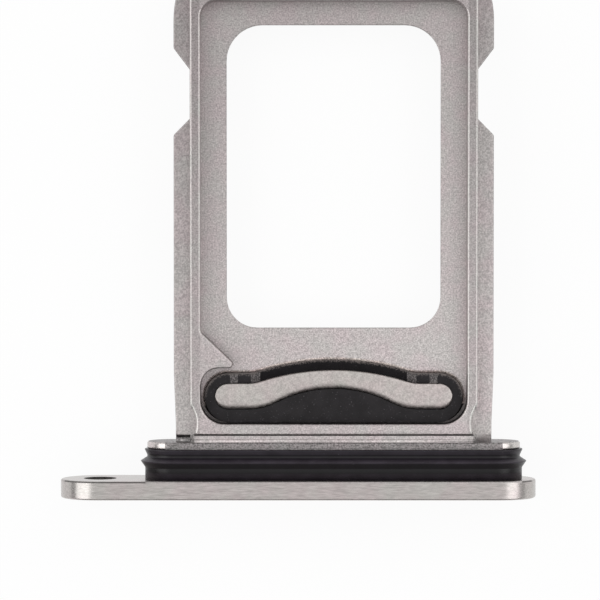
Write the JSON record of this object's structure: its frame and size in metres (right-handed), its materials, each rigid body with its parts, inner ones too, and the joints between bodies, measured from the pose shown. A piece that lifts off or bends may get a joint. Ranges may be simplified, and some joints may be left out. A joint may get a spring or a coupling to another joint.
{
  "type": "sim card tray",
  "caption": "Two-sided phone SIM card tray: metal faceplate with pinhole, sealed shoulder, notched carrier with window and a sprung card retainer.",
  "frame": {"origin": "centre of the faceplate's flat outer face", "axes": "X along the faceplate with the pinhole at the -X end, +Y the way the tray goes into the phone, +Z out of the upper card pocket"},
  "size_m": [0.0158, 0.0172, 0.0026],
  "materials": {
    "body_metal": "bead blasted, outer face brushed along its length",
    "spring_metal": "bead blasted",
    "seal_rubber": "satin",
    "insert_elastomer": "matte"
  },
  "bodies": {
    "root": {"tray_body": "body_metal", "shoulder_seal": "seal_rubber", "retainer_elastomer": "insert_elastomer", "retainer_arch": "spring_metal"}
  },
  "joints": []
}
